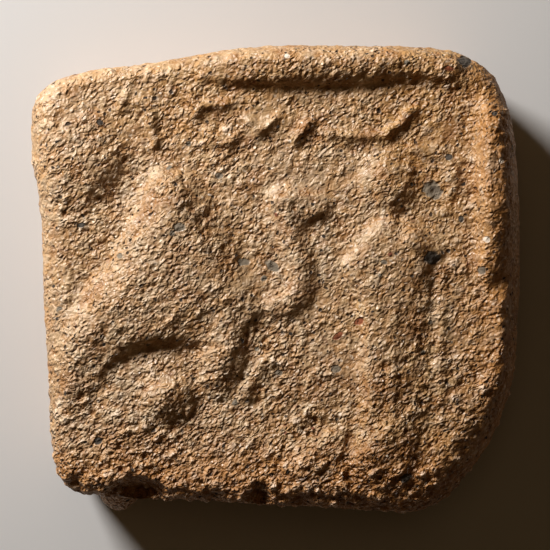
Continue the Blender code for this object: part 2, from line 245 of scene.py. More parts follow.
def standing_figure(x, y):
    """The robe with its steep left side, a knob and a short groove at the shoulder, the
    head, and a faint band that bends round it on the right."""
    robe = (
        (5.0, 3.2), (4.1, 2.5), (3.4, 1.5), (3.1, 0.4), (3.7, -0.5), (4.0, -1.8),
        (4.05, -4.2), (4.0, -6.1), (3.8, -7.4), (3.6, -8.6), (3.9, -9.7), (5.0, -10.3),
        (6.3, -10.1), (7.0, -8.6), (7.5, -6.3), (7.6, -3.9), (7.6, -1.4), (7.8, 0.5),
        (8.0, 1.6), (7.4, 2.4), (6.4, 3.0), (5.5, 3.4),
    )
    slopes = (0.9, 0.9, 0.9, 0.7, 0.6, 0.6, 0.6, 0.8, 1.0, 1.2, 1.6, 2.0, 2.4, 2.8, 3.0,
              3.2, 3.0, 2.8, 2.2, 1.6, 1.2, 0.9)
    return (
        pillow(x, y, robe, slopes, 0.4) + mound(x, y, (6.75, 2.0), (0.8, 0.7), 0.15)
        - ridge(x, y, ((6.0, 3.3), (6.15, 2.4), (6.2, 1.6)), (0.7, 0.6), (0.15, 0.02)),
        mound(x, y, (5.45, 4.85), (1.6, 1.75), 0.4, turn=10),
        ridge(x, y, ((6.4, 6.4), (7.7, 6.3), (8.5, 5.6), (8.6, 4.6), (8.3, 3.3)),
              (0.7, 0.6, 0.6), (0.12, 0.15, 0.12)),
    )


def ball_under_camel(x, y):
    """The ball, lower at its lower right, and two low swellings to its left."""
    return (mound(x, y, (-5.3, -5.65), (1.6, 1.35), 0.6, turn=15)
            - mound(x, y, (-4.6, -6.0), (1.0, 0.7), 0.1, turn=15),
            mound(x, y, (-7.0, -6.7), (2.2, 1.6), 0.16),
            mound(x, y, (-6.6, -4.6), (3.2, 2.0), 0.16))


def rims(x, y):
    """The raised rim: a bead with a sharp foot under the top edge, and a steep step
    on the right that rounds off outwards."""
    top = ((-4.6, 9.8), (-3.2, 9.65), (-1.8, 9.6), (-0.3, 9.5), (1.15, 9.5), (3.1, 9.55),
           (5.05, 9.75), (6.5, 9.85), (7.5, 9.75), (8.55, 9.55), (9.5, 9.4))
    right = ((9.95, 9.3), (9.9, 6.3), (9.9, 3.9), (9.95, 2.0), (9.9, 0.2),
             (10.5, -1.4), (10.8, -2.7), (10.6, -4.4), (10.2, -5.8))
    return (
        scarp(x, y, top, (0.1, 0.2, 0.3, 0.35, 0.35, 0.3, 0.35, 0.35, 0.3, 0.3, 0.2),
              width=0.3, fade=3.0)
        + bead(x, y, top, (0.05, 0.1, 0.32, 0.48, 0.6, 0.6, 0.55, 0.5, 0.34, 0.22, 0.1),
               reach=1.6, fade=6.0)
        + scarp(x, y, right, (0.4, 0.9, 0.95, 0.95, 0.6, 0.25, 0.32, 0.2, 0.1),
                width=0.75, fade=6.0)
    )


def worn_border(x, y):
    """What is left of the border at the left: a swollen corner, small lumps and a low
    step, less a pit, a notch in the edge, and two hollows beside the camel's back."""
    border = ((-11.0, 8.8), (-11.1, 6.0), (-10.8, 3.0), (-10.7, 0.5), (-10.6, -3.0),
              (-10.4, -7.0))
    return (mound(x, y, (-9.7, 6.1), (2.6, 3.0), 0.37, turn=20)
            + mound(x, y, (-10.9, 8.6), (1.4, 1.3), 0.15)
            + mound(x, y, (-11.0, 4.0), (1.4, 1.2), 0.06)
            + mound(x, y, (-9.9, 3.1), (1.0, 1.0), 0.1)
            + scarp(x, y, border, (0.1, 0.1, 0.15, 0.2, 0.2, 0.1), width=1.0, fade=2.0)
            - mound(x, y, (-10.5, 7.8), (0.4, 0.4), 0.15)
            - ridge(x, y, ((-11.4, 4.0), (-10.7, 3.7)), (0.5, 0.5), (0.12, 0.12))
            - mound(x, y, (-7.4, 4.9), (1.1, 1.4), 0.15)
            - mound(x, y, (-8.1, 4.1), (1.3, 1.0), 0.13))


def small_marks(x, y):
    """Low forms: the steps left of the robe's foot and along its hem, bands beside the
    robe and the front leg, a fold, and the grooves and hollows between them."""
    step = scarp(x, y, ((3.4, -7.4), (2.2, -7.8), (1.4, -8.25), (0.9, -8.9), (0.5, -9.8)),
                 (0.1, 0.3, 0.35, 0.35, 0.1), width=1.0, fade=2.5)
    beside_robe = (
        ridge(x, y, ((8.05, 0.6), (8.0, -1.4), (8.0, -3.9), (7.95, -6.0)), (0.65, 0.65),
              (0.1, 0.16, 0.16, 0.08))
        - ridge(x, y, ((7.7, 0.6), (7.65, -1.4), (7.65, -3.7)), (0.7, 0.7), (0.06, 0.08, 0.06)))
    hem = scarp(x, y, ((6.4, -6.5), (5.6, -7.0), (4.6, -7.8), (3.3, -8.8)),
                (0.1, 0.25, 0.25, 0.1), width=0.6, fade=1.2)
    return (
        step + beside_robe + hem
        + ridge(x, y, ((-0.55, -3.9), (-1.5, -5.6)), (0.8, 0.8), (0.2, 0.2))
        + ridge(x, y, ((6.5, -7.8), (6.2, -9.3)), (0.9, 0.8), (0.08, 0.08))
        - ridge(x, y, ((5.8, -5.8), (4.6, -6.9), (3.4, -8.0)), (0.7, 0.6), (0.06, 0.06))
        - mound(x, y, (2.2, -7.0), (1.1, 0.6), 0.08)
        - ridge(x, y, ((-1.3, -6.0), (0.9, -5.9)), (0.45, 0.45), (0.1, 0.1))
        - ridge(x, y, ((1.6, -7.35), (3.1, -6.8)), (0.45, 0.45), (0.08, 0.08))
        - ridge(x, y, ((-0.7, -6.8), (1.1, -6.4)), (0.45, 0.45), (0.08, 0.08))
        - ridge(x, y, ((0.9, -5.25), (2.6, -4.95)), (0.4, 0.4), (0.08, 0.08))
        - mound(x, y, (1.5, -6.2), (0.45, 0.45), 0.07)
        - ridge(x, y, ((2.6, -6.4), (3.3, -6.1)), (0.4, 0.4), (0.05, 0.05))
    )


def chips(x, y):
    """Bites out of the lower edge, and a shallow one out of the right edge."""
    # centre, radii and depth of each
    bites = (((-6.8, -10.4), (1.6, 0.75), 1.3), ((-0.8, -10.6), (0.5, 0.7), 1.2),
             ((-9.9, -10.0), (0.6, 0.5), 0.6), ((-3.0, -10.8), (0.5, 0.4), 0.5),
             ((1.3, -10.9), (0.6, 0.4), 0.5), ((10.75, -0.3), (0.5, 0.8), 0.25))
    return sum(mound(x, y, centre, radii, depth) for centre, radii, depth in bites)


def strokes(x, y):
    """Worn strokes in a row under the top rim. They are no letters."""
    # both ends and the height of each straight stroke
    row = (
        ((-7.7, 8.3), (-7.3, 9.0), 0.25), ((-6.9, 8.7), (-6.2, 8.5), 0.28),
        ((-6.2, 8.2), (-5.9, 6.6), 0.28), ((-4.2, 9.2), (-3.8, 8.1), 0.28),
        ((-3.6, 8.5), (-2.3, 8.6), 0.28), ((-1.4, 7.8), (-0.6, 7.3), 0.28),
        ((-1.0, 7.1), (0.1, 8.0), 0.28), ((0.9, 6.9), (1.7, 7.8), 0.28),
    )
    made = [ridge(x, y, (a, b), (0.5, 0.5), (h, h)) for a, b, h in row]
    made.append(ridge(x, y, ((-3.3, 7.2), (-2.6, 6.7), (-2.0, 7.1)), (0.55, 0.55),
                      (0.24, 0.24)))
    made.append(ridge(x, y, ((2.6, 7.2), (3.9, 7.0), (5.1, 7.1), (6.0, 7.6), (6.7, 8.4)),
                      (0.5, 0.55), (0.28, 0.28)))
    return np.maximum.reduce(made)


def merged(heights):
    """One surface over several raised forms, with soft creases where they meet."""
    return np.log(1 + sum(np.exp(CREASE * h) - 1 for h in heights)) / CREASE


def relief(x, y):
    """Height of the face above the plain field."""
    figures = merged(camel(x, y) + standing_figure(x, y) + ball_under_camel(x, y))
    low_relief = figures + rims(x, y) + worn_border(x, y) + strokes(x, y)
    return RELIEF_GAIN * low_relief + small_marks(x, y) - chips(x, y)


def worn(heights):
    """Rounds off a height map, as handling does."""
    reach = len(WEAR_KERNEL) // 2
    for _ in range(WEAR_PASSES):
        for axis in (0, 1):
            margins = [(reach, reach) if a == axis else (0, 0) for a in (0, 1)]
            padded = np.pad(heights, margins, mode="edge")
            parts = [np.take(padded, range(k, k + heights.shape[axis]), axis=axis)
                     for k in range(len(WEAR_KERNEL))]
            heights = sum(w * p for w, p in zip(WEAR_KERNEL, parts)) / sum(WEAR_KERNEL)
    return heights


def relief_map():
    """The worn relief on a regular grid, as a function of x and y."""
    xs, ys = (np.arange(-half, half, MAP_STEP) for half in MAP_HALF)
    x, y = np.meshgrid(xs, ys)
    heights = worn(relief(x, y))

    def sample(px, py):
        # just short of the last column and row, so that there is always a next one
        u = np.clip((px - xs[0]) / MAP_STEP, 0, len(xs) - 1.001)
        v = np.clip((py - ys[0]) / MAP_STEP, 0, len(ys) - 1.001)
        i, j = u.astype(int), v.astype(int)
        fu, fv = u - i, v - j
        low = heights[j, i] * (1 - fu) + heights[j, i + 1] * fu
        high = heights[j + 1, i] * (1 - fu) + heights[j + 1, i + 1] * fu
        return low * (1 - fv) + high * fv

    return sample


# ---------------------------------------------------------------- outline and edge

def compass(theta, values):
    """Values at equal turns from the right, read smoothly at any direction."""
    turns = (theta / math.tau % 1.0) * len(values)
    low = np.floor(turns).astype(int) % len(values)
    high = (low + 1) % len(values)
    share = smoothstep(turns - np.floor(turns))
    v = np.array(values)
    return v[low] * (1 - share) + v[high] * share


def outline_radius(theta):
    """Distance from the middle to the outline in each direction."""
    path = smooth_path(OUTLINE, closed=True)
    angles = np.unwrap(np.arctan2(path[:, 1], path[:, 0]))
    radii = np.hypot(path[:, 0], path[:, 1])
    wrapped = (theta - angles[0]) % math.tau + angles[0]
    return np.interp(wrapped, angles, radii)


def quarter_ellipse_length(a, b):
    """Ramanujan's estimate of a quarter of the way round an ellipse."""
    return math.pi / 4 * (3 * (a + b) - np.sqrt((3 * a + b) * (a + 3 * b)))


def cap_shape(theta, reach, width, height):
    """A flat middle that turns down in a quarter ellipse to the outline. Gives the
    distance from the middle, the fall below the flat, and the turn, for a reach from
    0 in the middle to 1 on the outline."""
    flat = outline_radius(theta) - width
    arc = quarter_ellipse_length(width, height)
    run = reach * (flat + arc)
    turn = np.clip((run - flat) / arc, 0, 1) * math.pi / 2
    radius = np.minimum(run, flat) + width * np.sin(turn)
    return radius, height * (1 - np.cos(turn)), turn


def face_positions(u, v, relief_at):
    """Points of a square from -1 to 1 moved onto the face and its worn edge."""
    theta = np.arctan2(v, u)
    reach = np.maximum(abs(u), abs(v))
    radius, fall, turn = cap_shape(theta, reach, compass(theta, EDGE_WIDTH),
                                   compass(theta, EDGE_DROP))
    x, y = radius * np.cos(theta), radius * np.sin(theta)
    z = FIELD_LEVEL + relief_at(x, y) * np.cos(turn) - fall
    return np.stack([x, y, z], axis=1)


def back_positions(u, v):
    """Points of a square from -1 to 1 moved onto the back and the side wall."""
    theta = np.arctan2(v, u)
    reach = np.maximum(abs(u), abs(v)) * BACK_REACH
    widest = FIELD_LEVEL - compass(theta, EDGE_DROP)
    radius, rise, _ = cap_shape(theta, reach, REST_INSET, widest)
    return np.stack([radius * np.cos(theta), radius * np.sin(theta), rise], axis=1)


# ---------------------------------------------------------------- the mesh

def add_cap(bm, cells, positions):
    """A square grid moved onto one cap of the tablet. Gives its border edges."""
    made = bmesh.ops.create_grid(bm, x_segments=cells[0], y_segments=cells[1], size=1.0)
    verts = made["verts"]
    flat = np.array([v.co[:2] for v in verts])
    loose = np.array([not v.is_boundary for v in verts])
    spacing = 2 / np.array(cells)
    row = np.rint((flat[:, 1] + 1) / spacing[1])
    rng = np.random.default_rng(GRID_SEED)
    drift = rng.uniform(-GRID_DRIFT, GRID_DRIFT, flat.shape)
    drift[:, 0] += np.where(row % 2 == 0, ROW_SHIFT, -ROW_SHIFT)
    flat += drift * spacing * loose[:, None]
    for vert, position in zip(verts, positions(flat[:, 0], flat[:, 1])):
        vert.co = position
    return list({e for v in verts if v.is_boundary for e in v.link_edges if e.is_boundary})


def closed_body(relief_at):
    """The face and the back joined along the side into one closed mesh, still in mm."""
    bm = bmesh.new()
    border = add_cap(bm, FACE_CELLS, lambda u, v: face_positions(u, v, relief_at))
    border += add_cap(bm, BACK_CELLS, back_positions)
    bmesh.ops.bridge_loops(bm, edges=border)
    bmesh.ops.triangulate(bm, faces=bm.faces, quad_method="SHORT_EDGE")
    bmesh.ops.recalc_face_normals(bm, faces=bm.faces)
    mesh = bpy.data.meshes.new("tablet_clay")
    bm.to_mesh(mesh)
    bm.free()
    return mesh


def read_points(mesh):
    """The mesh's points as rows of x, y, z."""
    points = np.empty(len(mesh.vertices) * 3)
    mesh.vertices.foreach_get("co", points)
    return points.reshape(-1, 3)


def read_normals(mesh):
    normals = np.empty(len(mesh.vertices) * 3)
    mesh.vertex_normals.foreach_get("vector", normals)
    return normals.reshape(-1, 3)


def write_points(mesh, points):
    mesh.vertices.foreach_set("co", points.ravel())
    mesh.update()


# ---------------------------------------------------------------- the surface of the clay

# The clay was wiped along this direction, which drew its grain out. A coordinate along it
# is scaled by the first share for the mesh, and by the second for the finer material
WIPE_DIRECTION = math.radians(40)
WIPE_STRETCH = 0.9
FINE_STRETCH = 0.8

# Turns the noises off their own grid, which would show on the flat face
GRID_TURN = (0.7, 0.5, 0.4)

# The material's noises are bent by waves, so that their cells lose their round shape
WAVE_SIZE = 0.35
WAVE_HEIGHT = 0.22

# Large odd factors, which turn whole numbers into repeatable random ones
CELL_FACTORS = (73856093, 19349663, 83492791)
SALT_FACTOR = 7919
FIRST_MIX, SECOND_MIX = 1274126177, 2246822519
LOW_32_BITS = 0xFFFFFFFF
CHANCES = 100003


def grain_axes():
    """Turns points for the noises: shorter along the wiping, which draws the noise out
    that way, and off the noise's own grid, so that it never shows on the flat face."""
    along_wipe = np.array([math.cos(WIPE_DIRECTION), math.sin(WIPE_DIRECTION), 0.0])
    squeeze = np.eye(3) - (1 - WIPE_STRETCH) * np.outer(along_wipe, along_wipe)
    return squeeze @ np.array(Euler(GRID_TURN).to_matrix())


GRAIN_AXES = grain_axes()


def noise_at(points, size, shift):
    """Smooth noise, about -1 to 1, whose lumps are about size across."""
    turned = points @ GRAIN_AXES / size + shift
    return np.array([noise.noise(Vector(p)) for p in turned])


def chance(cells, salt):
    """A repeatable random number from 0 to 1 for each cell of whole numbers."""
    mixed = cells.astype(np.int64) @ np.array(CELL_FACTORS) + salt * SALT_FACTOR
    mixed = (mixed ^ (mixed >> 13)) * FIRST_MIX & LOW_32_BITS
    mixed = (mixed ^ (mixed >> 16)) * SECOND_MIX & LOW_32_BITS
    return (mixed ^ (mixed >> 13)) % CHANCES / CHANCES


def spots_near(points, size, salt):
    """For the 27 cells around each point: distance to the cell's own random spot, as a
    share of size, and two more random numbers of that cell."""
    scaled = points @ GRAIN_AXES / size
    home = np.floor(scaled).astype(np.int64)
    for step in np.ndindex(3, 3, 3):
        cell = home + step - 1
        spot = cell + np.stack([chance(cell, salt + k) for k in (1, 2, 3)], axis=1)
        distance = np.sqrt(((scaled - spot) ** 2).sum(axis=1))
        yield distance, chance(cell, salt + 4), chance(cell, salt + 5)


# Radius of a grain and of a pit, as a share of size: the least, and what chance adds
GRAIN_REACH, GRAIN_EXTRA = 0.3, 0.45
PIT_REACH, PIT_EXTRA = 0.2, 0.25


def grains_at(points, size, salt):
    """Sand grains that stand out, about size apart, each with a height and reach of its
    own, and gaps between them."""
    out = np.zeros(len(points))
    for distance, tall, wide in spots_near(points, size, salt):
        dome = tall * (1 - (distance / (GRAIN_REACH + GRAIN_EXTRA * wide)) ** 2)
        out = np.maximum(out, dome)
    return out


def pits_at(points, size, share, salt):
    """Small round holes about size apart where chance picks them: 1 in their middle."""
    out = np.zeros(len(points))
    for distance, pick, wide in spots_near(points, size, salt):
        hole = 1 - (distance / (PIT_REACH + PIT_EXTRA * wide)) ** 2
        out = np.maximum(out, np.where(pick < share, hole, 0))
    return out


# size and height
LUMPS = ((2.2, 0.03), (1.1, 0.03), (0.55, 0.035))
GRIT = (0.34, 0.045)
GRAINS = ((0.5, 0.075), (0.33, 0.06))
# size, share of the places that have a pit, depth
PITS = ((0.7, 0.1, 0.07), (0.42, 0.25, 0.07))

LUMP_SHIFT, GRIT_SHIFT = 17.3, 31.9   # where the noises are read
PIT_SALT, SALT_STEP = 50, 10          # keep the random cells of each size apart
GRAIN_LEVEL = 0.25                    # grains rise above this level, and gaps lie below


def surface_height(points):
    """Broad lumps, and the sandy grit on top of them."""
    lumps = np.zeros(len(points))
    for k, (size, amount) in enumerate(LUMPS):
        lumps += amount * noise_at(points, size, LUMP_SHIFT * (k + 1))
    size, amount = GRIT
    grit = amount * noise_at(points, size, GRIT_SHIFT)
    for k, (size, amount) in enumerate(GRAINS):
        grit += amount * (grains_at(points, size, SALT_STEP * k) - GRAIN_LEVEL)
    for k, (size, share, amount) in enumerate(PITS):
        grit -= amount * pits_at(points, size, share, PIT_SALT + SALT_STEP * k)
    return lumps, grit


# Larger stones in the face: x, y, long and short radius, turn in degrees. They reach
# STONE_REACH below the level of the field
STONE_REACH = 1.5
DARK_STONES = (
    (7.6, 1.1, 0.42, 0.34, 0), (-9.5, 2.7, 0.22, 0.12, 0), (-8.6, 7.7, 0.15, 0.15, 0),
    (-8.7, -7.8, 0.22, 0.18, 0), (6.3, -9.6, 0.3, 0.2, 30), (10.6, 8.1, 0.15, 0.12, 0),
    (8.4, 6.0, 0.18, 0.15, 0), (9.0, 3.0, 0.15, 0.2, 0), (9.2, 10.7, 0.35, 0.3, 0),
)
GREY_STONES = (
    (7.6, 4.4, 0.55, 0.4, -40), (-1.6, 0.9, 0.3, 0.2, 0),
    (-0.2, 0.7, 0.4, 0.22, -40), (-4.7, 2.6, 0.28, 0.22, 0), (-7.6, 1.2, 0.15, 0.15, 0),
    (-2.8, 5.1, 0.2, 0.15, 0), (2.9, -4.3, 0.25, 0.18, 0), (5.2, 0.9, 0.2, 0.12, 0),
    (10.0, 0.5, 0.2, 0.2, 0), (0.1, -4.5, 0.2, 0.15, 0),
)
PALE_STONES = ((10.2, 2.0, 0.18, 0.15, 0), (0.5, 10.9, 0.15, 0.12, 0),
               (10.9, 5.8, 0.15, 0.15, 0))
RED_STONES = ((4.0, -2.0, 0.25, 0.17, 30), (3.0, -2.7, 0.3, 0.14, 40),
              (8.4, 10.3, 0.25, 0.12, 0))
STONES = {"dark_stone": DARK_STONES, "grey_stone": GREY_STONES,
          "pale_stone": PALE_STONES, "red_stone": RED_STONES}


def stone_depth(points, stones):
    """How far inside a stone a point is: 1 in its middle, 0 on its edge, -1 far away."""
    depth = np.full(len(points), -1.0)
    for x, y, long, short, turn in stones:
        c, s = math.cos(math.radians(turn)), math.sin(math.radians(turn))
        dx, dy = points[:, 0] - x, points[:, 1] - y
        far = np.hypot((dx * c + dy * s) / long, (dy * c - dx * s) / short)
        on_face = points[:, 2] > FIELD_LEVEL - STONE_REACH
        depth = np.maximum(depth, np.where(on_face, 1 - far, -1))
    return depth


def add_attribute(mesh, name, values):
    """One number for each point of the mesh, for the material to read."""
    layer = mesh.attributes.new(name, "FLOAT", "POINT")
    layer.data.foreach_set("value", values.astype(np.float32))


def coarseness(points):
    """How strong the grit is, around 1: rougher low on the face, and in patches."""
    level = (0.84 + 0.4 * smoothstep((-2 - points[:, 1]) / 6)
             + 0.5 * smoothstep((-8.5 - points[:, 1]) / 2)
             + 0.35 * noise_at(points, size=2.5, shift=61.0)
             + 0.5 * noise_at(points, size=1.0, shift=63.0))
    return np.clip(level, 0.4, 2.0)


def shaded_side_orange(points):
    """Painted shade: how deep an orange stands in for the warm shade, full on the sides and
    near the lower edge, and strong at the right, which face away from the key light."""
    x, y, z = points.T
    return np.clip(smoothstep((-7 - y) / 3) + 0.8 * smoothstep((x - 8) / 3)
                   + smoothstep((FIELD_LEVEL - 0.6 - z) / 0.6)
                   + 0.4 * noise_at(points, size=1.6, shift=81.0), 0, 1)


def key_lit_paleness(points):
    """How much painted light pales the clay: much on the camel and at the left, where the
    key light falls, and less at the right, low on the face, and around the strokes."""
    x, y = points[:, 0], points[:, 1]
    return np.clip(0.75 - 0.5 * smoothstep((x - 1) / 8) - 0.25 * smoothstep((-6 - y) / 4)
                   - 0.4 * smoothstep((y - 5) / 3) * smoothstep((x + 11) / 3)
                   + 0.5 * noise_at(points, size=3.0, shift=71.0), 0, 1)


def build_tablet():
    """The tablet's mesh with its lumps and grit, and what the material reads from it."""
    mesh = closed_body(relief_map())
    base, normals = read_points(mesh), read_normals(mesh)
    lumps, grit = surface_height(base)
    coarse = coarseness(base)
    grit *= coarse
    height = lumps + grit
    clod = mound(base[:, 0], base[:, 2], CLOD_CENTRE, CLOD_RADII, CLOD_HEIGHT)
    height += np.where(base[:, 1] < LOWER_WALL, clod, 0)
    points = base + normals * height[:, None]
    points[:, 2] = np.maximum(points[:, 2], 0)   # it lies flat
    for name, stones in STONES.items():
        add_attribute(mesh, name, stone_depth(points, stones))
    add_attribute(mesh, "grit", grit)
    add_attribute(mesh, "coarse", coarse)
    add_attribute(mesh, "pale", key_lit_paleness(base))
    add_attribute(mesh, "warm", shaded_side_orange(base))
    write_points(mesh, points * MM)
    mesh.shade_smooth()
    piece = bpy.data.objects.new("tablet_clay", mesh)
    bpy.context.scene.collection.objects.link(piece)
    return piece


# ---------------------------------------------------------------- materials

# Colours, as screen values from 0 to 255
CLAY = (182, 144, 94)
LIGHTER_CLAY = (194, 159, 112)
# Painted light: the clay pales to this where the key light falls
KEY_LIT_PALE_CLAY = (204, 178, 144)
# Painted shade: the deeper orange of the sides and parts away from the key light
SHADED_SIDE_ORANGE = (188, 132, 72)
GREYER_CLAY = (176, 158, 138)
ORANGER_CLAY = (198, 139, 66)
STAIN = (150, 106, 62)
# Painted shade and dirt between the grit, and a painted highlight and pale wear on its tops
SHADE_AND_DIRT_BETWEEN_GRIT = (150, 99, 38)
HIGHLIGHT_AND_WEAR_ON_GRIT = (248, 224, 200)
# Painted shade inside the tiny pits
PAINTED_SHADE_IN_PIT = (42, 28, 18)

# How much of a colour is mixed in where it is at its fullest
SHADED_SIDE_SHARE = 0.75
GREYER_SHARE = 0.45
ORANGER_SHARE = 0.35
STAIN_SHARE = 0.6
SHADE_AND_DIRT_SHARE = 0.8
HIGHLIGHT_AND_WEAR_SHARE = 0.7
PIT_SHADE_SHARE = 0.9

# The finest grit, for the bump: soft noise of a size and height, and grains of a size,
# the share of cells without one, and a height, which is below 0 for gaps
SOFT_GRIT = (0.16, 1.3)
FINE_GRAINS = ((0.18, 0.4, 0.7), (0.26, 0.4, 0.9), (0.24, 0.6, -0.8))
GRAIN_RADIUS = 0.55
BUMP_DISTANCE = 0.115

# Sand grains of several tints: the random numbers that pick them, the tint, its share
SAND_SIZE = 0.15
SAND_GRAINS = (
    (0.00, 0.12, (120, 78, 46), 0.6), (0.62, 0.80, (236, 208, 176), 0.4),
    (0.92, 1.00, (246, 228, 206), 0.5),
)

# Small stones all over: size of their cells, the random number above which a cell has
# one, its radius as a share of the cell, the tint
SCATTERED_STONES = (
    (0.55, 0.92, 0.16, (68, 58, 48)), (0.8, 0.93, 0.16, (128, 118, 102)),
    (0.7, 0.96, 0.14, (142, 90, 64)), (0.6, 0.95, 0.12, (232, 216, 196)),
)

# Tiny pits: size of their cells, the share of cells with one, its radius as a share of
# the cell. All are equally deep
TINY_PITS = ((0.3, 0.3, 0.22), (0.5, 0.25, 0.18), (1.3, 0.3, 0.1))
PIT_DEPTH = 0.6

# The larger stones: the attribute that says where they are, the tint, its share
LARGER_STONES = (
    ("dark_stone", (80, 76, 70), 0.95), ("grey_stone", (134, 125, 110), 0.9),
    ("pale_stone", (240, 226, 208), 0.9), ("red_stone", (150, 84, 52), 0.9),
)
STONE_GRIT = 0.45   # share of the grit's height that is left on a larger stone

CLAY_ROUGHNESS = (0.38, 0.7)   # where it glints, and elsewhere
DULL_ROUGHNESS = 0.95          # in stones and pits
CLAY_SPECULAR = 0.8

# The floor's faint patches, their size and the two greys between which it varies
FLOOR_PATCHES = 30.0
FLOOR_GREYS = ((0.62, 0.62, 0.61, 1), (0.66, 0.66, 0.65, 1))
FLOOR_ROUGHNESS = 0.85

# The colour sockets of a mix node: both inputs, and the output
MIX_A, MIX_B, MIX_RESULT = 6, 7, 2


def srgb(r, g, b):
    """A colour from screen values."""
    def linear(c):
        c = c / 255
        return c / 12.92 if c <= 0.04045 else ((c + 0.055) / 1.055) ** 2.4
    return (linear(r), linear(g), linear(b), 1.0)


class Nodes:
    """Short ways to add shader nodes."""

    def __init__(self, material):
        material.use_nodes = True
        self.tree = material.node_tree
        self.shader = self.tree.nodes["Principled BSDF"]

    def add(self, kind, **settings):
        node = self.tree.nodes.new(kind)
        for name, value in settings.items():
            setattr(node, name, value)
        return node

    def link(self, source, target):
        self.tree.links.new(source, target)

    def put(self, socket, value):
        """Links an output to an input, or sets the input to a plain value."""
        if isinstance(value, bpy.types.NodeSocket):
            self.link(value, socket)
        else:
            socket.default_value = value

    def mapping(self, vector, turn, scale):
        """Scales a vector, then turns it."""
        node = self.add("ShaderNodeMapping", vector_type="POINT")
        self.link(vector, node.inputs["Vector"])
        node.inputs["Rotation"].default_value = turn
        node.inputs["Scale"].default_value = scale
        return node.outputs[0]

    def position(self, scale):
        """Object coordinates, bent by waves, drawn out along the wiping, and turned off
        the noise's grid."""
        coordinates = self.add("ShaderNodeTexCoord").outputs["Object"]
        waves = self.add("ShaderNodeTexNoise")
        self.link(coordinates, waves.inputs["Vector"])
        waves.inputs["Scale"].default_value = 1.0 / (WAVE_SIZE * MM)
        waves.inputs["Detail"].default_value = 1.0
        bent = self.add("ShaderNodeVectorMath", operation="MULTIPLY_ADD")
        self.link(waves.outputs["Color"], bent.inputs[0])
        bent.inputs[1].default_value = (WAVE_HEIGHT * MM,) * 3
        self.link(coordinates, bent.inputs[2])
        level = self.mapping(bent.outputs[0], (0, 0, -WIPE_DIRECTION), (1, 1, 1))
        return self.mapping(level, GRID_TURN, (FINE_STRETCH * scale, scale, scale))

    def noise(self, size_mm, detail=2.0, roughness=0.5, distortion=0.0):
        """Noise whose lumps are about size_mm across."""
        node = self.add("ShaderNodeTexNoise")
        self.link(self.position(1.0 / (size_mm * MM)), node.inputs["Vector"])
        node.inputs["Scale"].default_value = 1.0
        node.inputs["Detail"].default_value = detail
        node.inputs["Roughness"].default_value = roughness
        node.inputs["Distortion"].default_value = distortion
        return node.outputs["Fac"]

    def voronoi(self, size_mm):
        """Cells about size_mm across: distance from their middles, and random colours."""
        node = self.add("ShaderNodeTexVoronoi")
        self.link(self.position(1.0 / (size_mm * MM)), node.inputs["Vector"])
        node.inputs["Scale"].default_value = 1.0
        return node.outputs["Distance"], node.outputs["Color"]

    def ramp(self, value, low, high, to_low=0.0, to_high=1.0):
        """Straight from to_low to to_high while a value goes from low to high."""
        node = self.add("ShaderNodeMapRange", clamp=True)
        self.link(value, node.inputs["Value"])
        for name, number in (("From Min", low), ("From Max", high), ("To Min", to_low),
                             ("To Max", to_high)):
            node.inputs[name].default_value = number
        return node.outputs["Result"]

    def soft_ramp(self, value, low, high):
        """Eases from 0 to 1 while a value goes from low to high."""
        node = self.add("ShaderNodeMapRange", interpolation_type="SMOOTHSTEP")
        self.link(value, node.inputs["Value"])
        node.inputs["From Min"].default_value = low
        node.inputs["From Max"].default_value = high
        return node.outputs["Result"]

    def math(self, operation, a, b=0.0):
        node = self.add("ShaderNodeMath", operation=operation)
        self.put(node.inputs[0], a)
        self.put(node.inputs[1], b)
        return node.outputs[0]

    def mix(self, share, a, b):
        node = self.add("ShaderNodeMix", data_type="RGBA")
        self.put(node.inputs["Factor"], share)
        self.put(node.inputs[MIX_A], a)
        self.put(node.inputs[MIX_B], b)
        return node.outputs[MIX_RESULT]

    def tint(self, share, colour, screen_values):
        """A colour with a share of another mixed in."""
        return self.mix(share, colour, srgb(*screen_values))

    def attribute(self, name):
        return self.add("ShaderNodeAttribute", attribute_name=name).outputs["Fac"]

    def red_of(self, colour):
        node = self.add("ShaderNodeSeparateColor")
        self.link(colour, node.inputs[0])
        return node.outputs[0]


def fine_grit(n):
    """Height of the finest grit: soft noise with standing grains, and gaps in it."""
    size, amount = SOFT_GRIT
    grit = n.math("MULTIPLY", n.noise(size, detail=1, roughness=0.4), amount)
    for size, gap, amount in FINE_GRAINS:
        distance, cell = n.voronoi(size)
        tall = n.ramp(n.red_of(cell), gap, 1.0)
        dome = n.math("MULTIPLY", n.soft_ramp(distance, GRAIN_RADIUS, 0.0), tall)
        grit = n.math("ADD", grit, n.math("MULTIPLY", dome, amount))
    return n.math("MULTIPLY", grit, n.attribute("coarse"))


